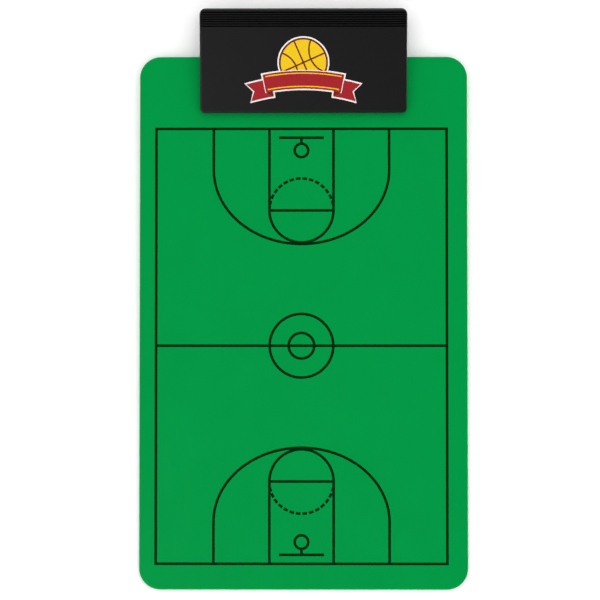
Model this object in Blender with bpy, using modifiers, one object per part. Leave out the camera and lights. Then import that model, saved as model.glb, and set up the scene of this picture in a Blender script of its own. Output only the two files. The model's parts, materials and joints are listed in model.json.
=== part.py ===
"""A coach's clipboard: a stiff printed board in the mouth of a wide sprung clip made of two moulded jaws.

The board lies on its back. X runs across it, Y from its foot to the clip, and Z out of its printed face.
The origin is under the middle of the whole clipboard, on the surface that it lies on. Lengths are in metres.
"""

import math

import bmesh
import bpy
import numpy as np
from mathutils import Matrix, Vector

MM = 0.001
SEAT_GAP = 0.3 * MM  # between two faces that touch on the real clipboard
CUT_MARGIN = 5 * MM  # how far a cutter reaches past what it cuts
BITE = 0.5 * MM  # how deep a rib or knuckle is rooted in its wall

# Driving dimensions: the board
BOARD_WIDTH = 242.4 * MM
BOARD_LENGTH = 393.7 * MM
BOARD_THICKNESS = 3.2 * MM
BOARD_CORNER = 15.5 * MM
BOARD_EDGE_ROUND = 0.5 * MM

# Driving dimensions: the clip's two jaws. Their depths are measured from the hinge axis.
CLIP_WIDTH = 152.4 * MM
JAW_REACH = 48.1 * MM  # from the hinge to the lip, along the jaw
LEVER_REACH = 28.1 * MM  # from the hinge to the end of the lever
JAW_DEPTH = 7 * MM  # from the hinge axis to the inner face of either jaw
FRONT_WALL = 2.4 * MM
BACK_WALL = 3 * MM
JAW_TILT = math.radians(8.5)
HINGE_BEYOND_BOARD = 6.5 * MM
LEVER_CORNER = 4.5 * MM
LIP_CORNER = 3 * MM
JAW_EDGE_ROUND = 1.4 * MM
LEVER_END_ROLL = 2.4 * MM  # the lever's end rolls down to the thickness of its wall

# The turned-in rim round each lever, and the lip that bears on the paper
RIM_DEPTH = 2.5 * MM
RIM_WALL = 2.2 * MM
RIM_STARTS = -14 * MM  # beside the hinge, towards the lip
RIM_SLOPE_ENDS = -4 * MM
LIP_THICKNESS = 3.4 * MM
LIP_DRAFT = 0.6 * MM
LIP_CHAMFER = 0.7 * MM
LIP_TEETH = 3
TOOTH_DEPTH = 0.45 * MM
TOOTH_SLOPE_SHARE = 0.85  # of each tooth's pitch: the rest is its steep face

# The band of grip grooves across each lever
GRIP_PLAIN_STRIP = 2.35 * MM
GROOVE_COUNT = 7
GROOVE_PITCH = 1.65 * MM
GROOVE_WIDTH = 1 * MM
GROOVE_FLOOR = 0.1 * MM
GROOVE_DEPTH = 1 * MM
COMB_SHOULDER = 0.2 * MM  # the cutter's teeth join up just outside the face

# Ribs inside the jaws
RIB_THICKNESS = 1.4 * MM
FRONT_RIB_DEPTH = 2.2 * MM
BACK_RIB_DEPTH = 1.8 * MM
RIB_PLACES = (-31 * MM, -16 * MM, 0, 16 * MM, 31 * MM)
THROAT_RIB_PLACES = (-67 * MM, -46 * MM, 46 * MM, 67 * MM)
THROAT_RIB_TAPERS = -22 * MM
THROAT_RIB_ENDS = -40 * MM
THROAT_RIB_TIP = 0.4 * MM
THROAT_RIB_ROOT = -9 * MM

# The hinge: a pin through knuckles that alternate along it
PIN_RADIUS = 2.4 * MM
PIN_LENGTH = 145.8 * MM
PIN_END_ROUND = 0.6 * MM
KNUCKLE_RADIUS = 4.6 * MM
KNUCKLE_FOOT = 9 * MM
FRONT_KNUCKLES = ((0, 10 * MM), (40.2 * MM, 5 * MM), (66.95 * MM, 3.5 * MM))  # centre and width
BACK_KNUCKLES = ((7.8 * MM, 5 * MM), (45.5 * MM, 5 * MM), (70.75 * MM, 3.5 * MM))
BOARD_STOP_THICKNESS = 1.2 * MM

# The torsion springs
WIRE_RADIUS = 0.75 * MM
COIL_RADIUS = 3.7 * MM  # to the middle of the wire
COIL_PITCH = 2 * MM
WHOLE_TURNS = 6
POINTS_PER_TURN = 9
LEG_LENGTH = 22 * MM
LEG_STEPS = 3
BACK_LEG_X = 50.15 * MM  # where the coil starts, beside the middle knuckles
CHANNEL_HALF_WIDTH = 1.65 * MM  # from a leg to the middle of the rib beside it
CHANNEL_RIB_THICKNESS = 1 * MM
CHANNEL_RIB_DEPTH = 2 * MM
CHANNEL_STARTS = 12 * MM
LEAST_COIL_GAP = 0.4 * MM

# The rivets and washers
INNER_RIVET_X, OUTER_RIVET_X = 23 * MM, 57 * MM
RIVET_PLACES = {
    "outer_left": -OUTER_RIVET_X, "inner_left": -INNER_RIVET_X, "inner_right": INNER_RIVET_X,
    "outer_right": OUTER_RIVET_X,
}
RIVET_BELOW_BOARD_TOP = 12 * MM
RIVET_RADIUS = 2 * MM
RIVET_HEAD_RADIUS = 4 * MM
RIVET_HEAD_HEIGHT = 1.5 * MM
RIVET_HEAD_RIM = 0.35 * MM
ROLLED_END_RADIUS = 3.3 * MM
ROLLED_END_HEIGHT = 0.55 * MM
ROLLED_END_LIFT = 0.25 * MM  # above the back jaw's outer face
RIVET_BORE_RADIUS = 1.2 * MM
RIVET_BORE_DEPTH = 2.5 * MM
RIVET_BORE_CONE = 0.6 * MM
WASHER_RADIUS = 4.6 * MM
WASHER_THICKNESS = 0.5 * MM
RECESS_RADIUS = 5.1 * MM
RECESS_DEPTH = 1.9 * MM

# How finely round shapes are divided
ROUND_STEPS = 28
CORNER_STEPS = 6
BOARD_CORNER_STEPS = 12
EDGE_STEPS = 4
RIVET_STEPS = 20
HEAD_ARC_STEPS = 5
ROLLED_END_STEPS = 4
PIN_END_STEPS = 2
GAP_SAMPLES_PER_STEP = 8
LEVEL_TOLERANCE = MM / 100  # points closer than this are at one level
SMOOTH_FROM, SHARP_FROM = math.radians(1), math.radians(35)
WIDEST_CURVED_FACE = 2 * MM

# Places that follow from the dimensions above
BOARD_BACK_Z = BACK_WALL + SEAT_GAP
BOARD_TOP_Z = BOARD_BACK_Z + BOARD_THICKNESS
HINGE_Z = BACK_WALL + JAW_DEPTH
RIM_EDGE = JAW_DEPTH - RIM_DEPTH
LEVER_OUTREACH = LEVER_REACH * math.cos(JAW_TILT) - RIM_EDGE * math.sin(JAW_TILT)
OVERALL_LENGTH = BOARD_LENGTH + HINGE_BEYOND_BOARD + LEVER_OUTREACH
BOARD_TOP_EDGE_Y = BOARD_LENGTH - OVERALL_LENGTH / 2
BOARD_FOOT_Y = -OVERALL_LENGTH / 2
HINGE_Y = BOARD_TOP_EDGE_Y + HINGE_BEYOND_BOARD
LIP_OUTREACH = JAW_REACH * math.cos(JAW_TILT) + JAW_DEPTH * math.sin(JAW_TILT)
HALF_CLIP = CLIP_WIDTH / 2


def clear_scene():
    for item in list(bpy.data.objects):
        bpy.data.objects.remove(item, do_unlink=True)


def new_collection(name):
    collection = bpy.data.collections.new(name)
    bpy.context.scene.collection.children.link(collection)
    return collection


def make_material(name, colour, roughness, metallic=0.0):
    material = bpy.data.materials.new(name)
    material.use_nodes = True
    shader = material.node_tree.nodes["Principled BSDF"]
    shader.inputs["Base Color"].default_value = (*colour, 1)
    shader.inputs["Roughness"].default_value = roughness
    shader.inputs["Metallic"].default_value = metallic
    return material


class Workshop:
    """The collections and materials that every piece is made with."""

    def __init__(self):
        self.pieces = new_collection("coach_clipboard")
        self.cutters = new_collection("shaping_tools")
        self.board_plastic = make_material("green_polystyrene", (0.0, 0.319, 0.061), 0.35)
        self.clip_plastic = make_material("black_polystyrene", (0.012, 0.012, 0.012), 0.45)
        self.steel = make_material("zinc_plated_steel", (0.6, 0.6, 0.62), 0.3, 1.0)
        self.wire = make_material("spring_steel", (0.35, 0.35, 0.36), 0.35, 1.0)

    def piece(self, name, mesh, material, parent=None):
        item = bpy.data.objects.new(name, mesh)
        mesh.materials.clear()
        mesh.materials.append(material)
        item.parent = parent
        self.pieces.objects.link(item)
        return item

    def tool(self, name, mesh, parent=None):
        item = bpy.data.objects.new(name, mesh)
        item.parent = parent
        item.hide_render = True
        item.display_type = "WIRE"
        self.cutters.objects.link(item)
        return item

    def pivot(self, name, tilt=0.0):
        """An empty on the hinge axis: a jaw's own Y runs to its lever, and its Z out of the board."""
        empty = bpy.data.objects.new(name, None)
        empty.location = (0, HINGE_Y, HINGE_Z)
        empty.rotation_euler = (tilt, 0, 0)
        self.cutters.objects.link(empty)
        return empty


def finished(name, shape):
    """Turns a bmesh into a mesh that is smooth over its curves, flat on its walls and crisp at its edges."""
    bmesh.ops.recalc_face_normals(shape, faces=shape.faces)
    for edge in shape.edges:
        edge.smooth = edge.calc_face_angle(0) < SHARP_FROM
    for face in shape.faces:
        narrow = face.calc_area() < WIDEST_CURVED_FACE * max(e.calc_length() for e in face.edges)
        face.smooth = narrow and any(SMOOTH_FROM < e.calc_face_angle(0) < SHARP_FROM for e in face.edges)
    mesh = bpy.data.meshes.new(name)
    shape.to_mesh(mesh)
    shape.free()
    return mesh


def block(name, half_width, y_span, z_span, corners=(0, 0), corner_steps=CORNER_STEPS, rounded=()):
    """A box whose upright corners are rounded at its two Y ends, and whose faces in rounded get soft edges.

    rounded holds (z, radius) for each level whose outer edges are rounded over."""
    shape = bmesh.new()
    bmesh.ops.create_cube(shape, size=2)
    for vertex in shape.verts:
        vertex.co.x *= half_width
        vertex.co.y = y_span[vertex.co.y > 0]
        vertex.co.z = z_span[vertex.co.z > 0]
    for y, radius in zip(y_span, corners):
        if radius:
            at_end = [e for e in shape.edges if abs(e.verts[0].co.y - y) < LEVEL_TOLERANCE]
            bevel(shape, [e for e in at_end if is_upright(e)], radius, corner_steps)
    for z, radius in rounded:
        level = [e for e in shape.edges if all(abs(v.co.z - z) < LEVEL_TOLERANCE for v in e.verts)]
        bevel(shape, level, radius, EDGE_STEPS)
    return finished(name, shape)


def is_upright(edge):
    a, b = (v.co for v in edge.verts)
    return (a.xy - b.xy).length < LEVEL_TOLERANCE


def bevel(shape, edges, radius, steps):
    bmesh.ops.bevel(
        shape, geom=edges, offset=radius, offset_type="OFFSET", segments=steps, profile=0.5, affect="EDGES"
    )


def slab(name, outline, x_low, x_high):
    """An outline of (y, z) points given thickness along X, made as a filled flat curve."""
    curve = bpy.data.curves.new(name, "CURVE")
    curve.dimensions = "2D"
    curve.fill_mode = "BOTH"
    curve.extrude = (x_high - x_low) / 2
    spline = curve.splines.new("POLY")
    spline.points.add(len(outline) - 1)
    for point, (y, z) in zip(spline.points, outline):
        point.co = (y, z, 0, 1)
    spline.use_cyclic_u = True
    drawn = bpy.data.objects.new(name, curve)
    bpy.context.scene.collection.objects.link(drawn)
    raw = bpy.data.meshes.new_from_object(drawn.evaluated_get(bpy.context.evaluated_depsgraph_get()))
    bpy.data.objects.remove(drawn, do_unlink=True)

    shape = bmesh.new()
    shape.from_mesh(raw)
    bpy.data.meshes.remove(raw)
    bmesh.ops.remove_doubles(shape, verts=shape.verts, dist=LEVEL_TOLERANCE)
    along_x = Matrix(((0, 0, 1, (x_low + x_high) / 2), (1, 0, 0, 0), (0, 1, 0, 0), (0, 0, 0, 1)))
    bmesh.ops.transform(shape, matrix=along_x, verts=shape.verts)
    return finished(name, shape)


def rod(name, radius, x_low, x_high):
    """A cylinder on the hinge axis."""
    shape = bmesh.new()
    along_x = Matrix.Translation(((x_low + x_high) / 2, 0, 0)) @ Matrix.Rotation(math.pi / 2, 4, "Y")
    bmesh.ops.create_cone(
        shape, cap_ends=True, segments=ROUND_STEPS, radius1=radius, radius2=radius, depth=x_high - x_low,
        matrix=along_x,
    )
    return finished(name, shape)


def drum(name, radius, x, y, z_low, z_high):
    """An upright cylinder."""
    shape = bmesh.new()
    bmesh.ops.create_cone(
        shape, cap_ends=True, segments=ROUND_STEPS, radius1=radius, radius2=radius, depth=z_high - z_low,
        matrix=Matrix.Translation((x, y, (z_low + z_high) / 2)),
    )
    return finished(name, shape)


def boolean(target, tool, operation):
    modifier = target.modifiers.new(tool.name, "BOOLEAN")
    modifier.operation = operation
    modifier.solver = "EXACT"
    modifier.object = tool


def cut(target, tool):
    boolean(target, tool, "DIFFERENCE")


def join(target, tool):
    boolean(target, tool, "UNION")


def arc(centre, radius, start, end, steps):
    """Points on a circle from one angle to another, both included."""
    angles = (start + (end - start) * i / steps for i in range(steps + 1))
    return [(centre[0] + radius * math.cos(a), centre[1] + radius * math.sin(a)) for a in angles]


def both_sides(places):
    """Each (centre, width) as an (x_low, x_high) span on both sides of the middle."""
    for centre, width in places:
        for side in (-1, 1) if centre else (1,):
            yield side * centre - width / 2, side * centre + width / 2


def knuckle_outline(foot_low, foot_high, side):
    """A barrel round the hinge axis, with straight webs that leave it as tangents and meet the jaw's wall.

    side is 1 for a wall above the axis and -1 for one below it."""
    root = side * (JAW_DEPTH + BITE)
    low, high = Vector((foot_low, root)), Vector((foot_high, root))
    low_angle = math.atan2(low.y, low.x) + side * math.acos(KNUCKLE_RADIUS / low.length)
    high_angle = math.atan2(high.y, high.x) - side * math.acos(KNUCKLE_RADIUS / high.length)
    sweep = (low_angle - high_angle) % math.tau if side < 0 else -((high_angle - low_angle) % math.tau)
    barrel = arc((0, 0), KNUCKLE_RADIUS, high_angle, high_angle + sweep, ROUND_STEPS // 2)
    return [tuple(low), tuple(high), *barrel]


def lip_floor(y):
    """Height, in the front jaw's own frame, of the level at which the lip meets the board."""
    level = BOARD_TOP_Z + SEAT_GAP - HINGE_Z
    return (level - y * math.sin(JAW_TILT)) / math.cos(JAW_TILT)


def throat_outline():
    """What is taken away under the front jaw: its edge is the toothed lip, the throat and the rim's edge."""
    lip_front = -JAW_REACH
    bearing_front = lip_front + LIP_CHAMFER
    bearing_back = lip_front + LIP_THICKNESS
    pitch = (bearing_back - bearing_front) / LIP_TEETH
    outline = [
        (lip_front - CUT_MARGIN, -CUT_MARGIN),
        (lip_front - CUT_MARGIN, lip_floor(lip_front) + LIP_CHAMFER),
        (lip_front, lip_floor(lip_front) + LIP_CHAMFER),
    ]
    for tooth in range(LIP_TEETH):
        y = bearing_front + tooth * pitch
        outline.append((y, lip_floor(y)))
        valley = y + TOOTH_SLOPE_SHARE * pitch
        outline.append((valley, lip_floor(valley) + TOOTH_DEPTH))
    return outline + [
        (bearing_back, lip_floor(bearing_back)),
        (bearing_back + LIP_DRAFT, JAW_DEPTH),
        (RIM_STARTS, JAW_DEPTH),
        (RIM_SLOPE_ENDS, RIM_EDGE),
        (LEVER_REACH + CUT_MARGIN, RIM_EDGE),
        (LEVER_REACH + CUT_MARGIN, -CUT_MARGIN),
    ]


def grip_outline(end, face, outward):
    """A comb of groove sections along a lever, all on one back that lies outside the lever.

    end is the lever's end along Y, face the level of its outer face, and outward 1 or -1."""
    back, shoulder = face + outward * CUT_MARGIN, face + outward * COMB_SHOULDER
    floor = face - outward * GROOVE_DEPTH
    flare = COMB_SHOULDER * (GROOVE_WIDTH - GROOVE_FLOOR) / 2 / GROOVE_DEPTH
    outline = []
    for groove in range(GROOVE_COUNT):
        middle = end - GRIP_PLAIN_STRIP - (groove + 0.5) * GROOVE_PITCH
        outline += [
            (middle + GROOVE_WIDTH / 2 + flare, shoulder),
            (middle + GROOVE_FLOOR / 2, floor),
            (middle - GROOVE_FLOOR / 2, floor),
            (middle - GROOVE_WIDTH / 2 - flare, shoulder),
        ]
    return [(outline[0][0], back)] + outline + [(outline[-1][0], back)]


def make_board(shop):
    board = shop.piece(
        "board",
        block(
            "board", BOARD_WIDTH / 2, (BOARD_FOOT_Y, BOARD_TOP_EDGE_Y), (BOARD_BACK_Z, BOARD_TOP_Z),
            corners=(BOARD_CORNER, BOARD_CORNER), corner_steps=BOARD_CORNER_STEPS,
            rounded=((BOARD_BACK_Z, BOARD_EDGE_ROUND), (BOARD_TOP_Z, BOARD_EDGE_ROUND)),
        ),
        shop.board_plastic,
    )
    for place, x in RIVET_PLACES.items():
        hole = drum(
            "board_hole_" + place, RIVET_RADIUS + SEAT_GAP, x, BOARD_TOP_EDGE_Y - RIVET_BELOW_BOARD_TOP,
            BOARD_BACK_Z - CUT_MARGIN, BOARD_TOP_Z + CUT_MARGIN,
        )
        cut(board, shop.tool(hole.name, hole))


def make_front_jaw(shop, pivot):
    outer_face = JAW_DEPTH + FRONT_WALL
    jaw = shop.piece(
        "front_jaw",
        block(
            "front_jaw", HALF_CLIP, (-JAW_REACH, LEVER_REACH), (0, outer_face),
            corners=(LIP_CORNER, LEVER_CORNER), rounded=((outer_face, JAW_EDGE_ROUND),),
        ),
        shop.clip_plastic, pivot,
    )

    def tool(mesh):
        return shop.tool(mesh.name, mesh, pivot)

    past_sides = HALF_CLIP + CUT_MARGIN
    cut(jaw, tool(slab("front_throat_space", throat_outline(), -past_sides, past_sides)))
    cut(jaw, tool(block(
        "front_lever_pocket", HALF_CLIP - RIM_WALL, (RIM_STARTS - CUT_MARGIN, LEVER_REACH - RIM_WALL),
        (-CUT_MARGIN, JAW_DEPTH), corners=(0, LEVER_CORNER - RIM_WALL),
    )))
    roll_centre = (LEVER_REACH - LEVER_END_ROLL, outer_face - LEVER_END_ROLL)
    roll = [
        *arc(roll_centre, LEVER_END_ROLL, 0, math.pi / 2, CORNER_STEPS),
        (roll_centre[0], outer_face + CUT_MARGIN),
        (LEVER_REACH + CUT_MARGIN, outer_face + CUT_MARGIN),
        (LEVER_REACH + CUT_MARGIN, roll_centre[1]),
    ]
    cut(jaw, tool(slab("front_lever_roll", roll, -past_sides, past_sides)))
    cut(jaw, tool(slab("front_grip", grip_outline(LEVER_REACH, outer_face, 1), -past_sides, past_sides)))

    root = JAW_DEPTH + BITE
    rib_edge = JAW_DEPTH - FRONT_RIB_DEPTH
    taper = [
        (THROAT_RIB_ENDS, root),
        (THROAT_RIB_ENDS, JAW_DEPTH - THROAT_RIB_TIP),
        (THROAT_RIB_TAPERS, rib_edge),
    ]
    lever_rib_end = LEVER_REACH - RIM_WALL + BITE
    full_rib = taper + [(lever_rib_end, rib_edge), (lever_rib_end, root)]
    throat_rib = taper + [(THROAT_RIB_ROOT, rib_edge), (THROAT_RIB_ROOT, root)]
    ribs = [(x, full_rib) for x in RIB_PLACES] + [(x, throat_rib) for x in THROAT_RIB_PLACES]
    for number, (x, outline) in enumerate(ribs, 1):
        join(jaw, tool(slab(f"front_rib_{number}", outline, x - RIB_THICKNESS / 2, x + RIB_THICKNESS / 2)))
    for number, (x, outline) in enumerate(channel_ribs(front_leg_x(), 1), 1):
        half = CHANNEL_RIB_THICKNESS / 2
        join(jaw, tool(slab(f"front_channel_rib_{number}", outline, x - half, x + half)))
    for number, (x_low, x_high) in enumerate(both_sides(FRONT_KNUCKLES), 1):
        outline = knuckle_outline(-KNUCKLE_FOOT, KNUCKLE_FOOT, 1)
        join(jaw, tool(slab(f"front_knuckle_{number}", outline, x_low, x_high)))
    cut(jaw, tool(rod("front_bore", PIN_RADIUS + SEAT_GAP, -past_sides, past_sides)))


def channel_ribs(leg_x, side):
    """The two short ribs on each side of a spring leg, on the left and the right of the clip."""
    wall, end = side * (JAW_DEPTH + BITE), LEVER_REACH - RIM_WALL + BITE
    edge = side * (JAW_DEPTH - CHANNEL_RIB_DEPTH)
    outline = [(CHANNEL_STARTS, wall), (CHANNEL_STARTS + CHANNEL_RIB_DEPTH, edge), (end, edge), (end, wall)]
    for hand in (-1, 1):
        for beside in (-CHANNEL_HALF_WIDTH, CHANNEL_HALF_WIDTH):
            yield hand * leg_x + beside, outline


def make_back_jaw(shop, pivot):
    outer_face = -HINGE_Z
    lever_end = LEVER_OUTREACH
    stop_front = -HINGE_BEYOND_BOARD + SEAT_GAP
    jaw = shop.piece(
        "back_jaw",
        block(
            "back_jaw", HALF_CLIP, (-LIP_OUTREACH, lever_end), (outer_face, -RIM_EDGE),
            corners=(LIP_CORNER, LEVER_CORNER), rounded=((outer_face, JAW_EDGE_ROUND),),
        ),
        shop.clip_plastic, pivot,
    )

    def tool(mesh):
        return shop.tool(mesh.name, mesh, pivot)

    past_sides = HALF_CLIP + CUT_MARGIN
    cut(jaw, tool(block(
        "board_space", past_sides, (-LIP_OUTREACH - CUT_MARGIN, stop_front), (-JAW_DEPTH, CUT_MARGIN),
    )))
    cut(jaw, tool(block(
        "back_lever_pocket", HALF_CLIP - RIM_WALL, (stop_front + BOARD_STOP_THICKNESS, lever_end - RIM_WALL),
        (-JAW_DEPTH, CUT_MARGIN), corners=(0, LEVER_CORNER - RIM_WALL),
    )))
    cut(jaw, tool(slab("back_grip", grip_outline(lever_end, outer_face, -1), -past_sides, past_sides)))

    root, rib_edge = -JAW_DEPTH - BITE, -JAW_DEPTH + BACK_RIB_DEPTH
    rib_start, rib_end = stop_front + BOARD_STOP_THICKNESS - BITE, lever_end - RIM_WALL + BITE
    rib = [(rib_start, root), (rib_start, rib_edge), (rib_end, rib_edge), (rib_end, root)]
    for number, x in enumerate(RIB_PLACES, 1):
        join(jaw, tool(slab(f"back_rib_{number}", rib, x - RIB_THICKNESS / 2, x + RIB_THICKNESS / 2)))
    for number, (x, outline) in enumerate(channel_ribs(BACK_LEG_X, -1), 1):
        half = CHANNEL_RIB_THICKNESS / 2
        join(jaw, tool(slab(f"back_channel_rib_{number}", outline, x - half, x + half)))
    for number, (x_low, x_high) in enumerate(both_sides(BACK_KNUCKLES), 1):
        outline = knuckle_outline(stop_front + BOARD_STOP_THICKNESS, KNUCKLE_FOOT, -1)
        join(jaw, tool(slab(f"back_knuckle_{number}", outline, x_low, x_high)))
    cut(jaw, tool(rod("back_bore", PIN_RADIUS + SEAT_GAP, -past_sides, past_sides)))
    y = -HINGE_BEYOND_BOARD - RIVET_BELOW_BOARD_TOP
    for place, x in RIVET_PLACES.items():
        hole = drum("jaw_hole_" + place, RIVET_RADIUS + SEAT_GAP, x, y, outer_face - CUT_MARGIN, 0)
        cut(jaw, tool(hole))
        recess = drum(
            "jaw_recess_" + place, RECESS_RADIUS, x, y, outer_face - CUT_MARGIN, outer_face + RECESS_DEPTH
        )
        cut(jaw, tool(recess))


def make_hinge_pin(shop, pivot):
    shaft = rod("hinge_pin", PIN_RADIUS, -PIN_LENGTH / 2, PIN_LENGTH / 2)
    pin = shop.piece("hinge_pin", shaft, shop.steel, pivot)
    rounding = pin.modifiers.new("rounded_ends", "BEVEL")
    rounding.width = PIN_END_ROUND
    rounding.segments = PIN_END_STEPS
    rounding.limit_method = "ANGLE"


def leg_slope():
    """The angle at which a leg spreads from the coil to touch the wall at its tip."""
    contact = JAW_DEPTH - SEAT_GAP - WIRE_RADIUS
    return math.atan((contact - COIL_RADIUS) / LEG_LENGTH)


def coil_sweep():
    """How far the wire turns round the pin between its legs, in radians."""
    return WHOLE_TURNS * math.tau + math.pi - JAW_TILT - 2 * leg_slope()


def front_leg_x():
    return BACK_LEG_X + COIL_PITCH * coil_sweep() / math.tau


def spring_path():
    """Points along the right-hand spring: from its tip on the back jaw, round the pin, to the front jaw."""
    start = -math.pi / 2 - leg_slope()
    sweep = coil_sweep()
    steps = round(POINTS_PER_TURN * sweep / math.tau)
    path = []
    for step in range(steps + 1):
        angle = start - sweep * step / steps
        x = BACK_LEG_X + COIL_PITCH * (start - angle) / math.tau
        path.append(Vector((x, COIL_RADIUS * math.cos(angle), COIL_RADIUS * math.sin(angle))))
    back_way = Vector((0, math.cos(-leg_slope()), math.sin(-leg_slope())))
    front_way = Vector((0, math.cos(JAW_TILT + leg_slope()), math.sin(JAW_TILT + leg_slope())))
    runs = [LEG_LENGTH * step / LEG_STEPS for step in range(1, LEG_STEPS + 1)]
    back_leg = [path[0] + back_way * run for run in reversed(runs)]
    front_leg = [path[-1] + front_way * run for run in runs]
    return back_leg + path + front_leg


def least_gap(path):
    """The least space between stretches of the wire over half a turn apart, measured on points."""
    samples = [step / GAP_SAMPLES_PER_STEP for step in range(GAP_SAMPLES_PER_STEP)]
    fine = [a.lerp(b, share) for a, b in zip(path, path[1:]) for share in samples]
    points = np.array([tuple(p) for p in fine])
    along = np.concatenate([[0], np.cumsum(np.linalg.norm(np.diff(points, axis=0), axis=1))])
    apart = np.linalg.norm(points[:, None] - points[None], axis=2)
    apart[np.abs(along[:, None] - along[None]) < math.pi * COIL_RADIUS] = np.inf
    return float(apart.min()) - 2 * WIRE_RADIUS


def make_springs(shop, pivot):
    right = spring_path()
    gap = least_gap(right)
    print(f"each spring's least gap between its turns is {gap / MM:.2f} mm")
    assert gap > LEAST_COIL_GAP
    for name, hand in (("spring_left", -1), ("spring_right", 1)):
        curve = bpy.data.curves.new(name, "CURVE")
        curve.dimensions = "3D"
        curve.bevel_depth = WIRE_RADIUS
        curve.bevel_resolution = 1
        curve.use_fill_caps = True
        wire = curve.splines.new("POLY")
        wire.points.add(len(right) - 1)
        for point, place in zip(wire.points, right):
            point.co = (hand * place.x, place.y, place.z, 1)
        curve.materials.append(shop.wire)
        spring = bpy.data.objects.new(name, curve)
        spring.parent = pivot
        shop.pieces.objects.link(spring)


def turned(shop, name, profile, closed, material, location):
    """A round piece: a profile of (radius, z) points swept about Z by a Screw modifier."""
    mesh = bpy.data.meshes.new(name)
    edges = [(i, i + 1) for i in range(len(profile) - 1)]
    if closed:
        edges.append((len(profile) - 1, 0))
    mesh.from_pydata([(radius, 0, z) for radius, z in profile], edges, [])
    piece = shop.piece(name, mesh, material)
    piece.location = location
    screw = piece.modifiers.new("turned", "SCREW")
    screw.steps = screw.render_steps = RIVET_STEPS
    screw.use_merge_vertices = True
    screw.merge_threshold = LEVEL_TOLERANCE
    screw.use_smooth_shade = True
    return piece


def rivet_profile():
    """A domed head on the board, a shank, and an end rolled outwards over the washer, with its bore."""
    head_seat = BOARD_TOP_Z + SEAT_GAP
    dome = RIVET_HEAD_HEIGHT - RIVET_HEAD_RIM
    end_low, end_high = ROLLED_END_LIFT, ROLLED_END_LIFT + ROLLED_END_HEIGHT
    profile = [
        (RIVET_HEAD_RADIUS * math.sin(a), head_seat + RIVET_HEAD_RIM + dome * math.cos(a))
        for a in (math.pi / 2 * i / HEAD_ARC_STEPS for i in range(HEAD_ARC_STEPS + 1))
    ]
    roll_radius = ROLLED_END_HEIGHT / 2
    roll_centre = (ROLLED_END_RADIUS - roll_radius, end_low + roll_radius)
    roll = arc(roll_centre, roll_radius, math.pi / 2, -math.pi / 2, ROLLED_END_STEPS)
    return profile + [
        (RIVET_HEAD_RADIUS, head_seat),
        (RIVET_RADIUS, head_seat),
        (RIVET_RADIUS, end_high),
        *roll,
        (RIVET_BORE_RADIUS + roll_radius, end_low),
        (RIVET_BORE_RADIUS, end_high),
        (RIVET_BORE_RADIUS, end_low + RIVET_BORE_DEPTH),
        (0, end_low + RIVET_BORE_DEPTH + RIVET_BORE_CONE),
    ]


def make_rivets(shop):
    washer_top = RECESS_DEPTH - SEAT_GAP
    washer_bottom = washer_top - WASHER_THICKNESS
    bore = RIVET_RADIUS + SEAT_GAP
    washer_profile = [
        (bore, washer_top),
        (WASHER_RADIUS, washer_top),
        (WASHER_RADIUS, washer_bottom),
        (bore, washer_bottom),
    ]
    for place, x in RIVET_PLACES.items():
        location = (x, BOARD_TOP_EDGE_Y - RIVET_BELOW_BOARD_TOP, 0)
        turned(shop, "rivet_" + place, rivet_profile(), False, shop.steel, location)
        turned(shop, "washer_" + place, washer_profile, True, shop.steel, location)


def main():
    clear_scene()
    shop = Workshop()
    front_pivot = shop.pivot("front_jaw_pivot", JAW_TILT)
    back_pivot = shop.pivot("back_jaw_pivot")
    make_board(shop)
    make_front_jaw(shop, front_pivot)
    make_back_jaw(shop, back_pivot)
    make_hinge_pin(shop, back_pivot)
    make_springs(shop, back_pivot)
    make_rivets(shop)


main()
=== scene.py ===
# %% [markdown]
# A coach's clipboard
#
# A stiff green board carries a printed basketball court. A wide black clip grips its top edge: two
# moulded jaws turn on one steel pin, and two wound springs press their lips together.
#
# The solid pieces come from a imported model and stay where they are, at their real size in metres.
# This lesson gives each of them its finish. Then it adds what a solid model leaves out: the printed
# inks, springs in round wire, a pale studio and the camera.

# %% Load the solid pieces
import json
import math

import bmesh
import bpy
from mathutils import Matrix, Vector

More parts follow.
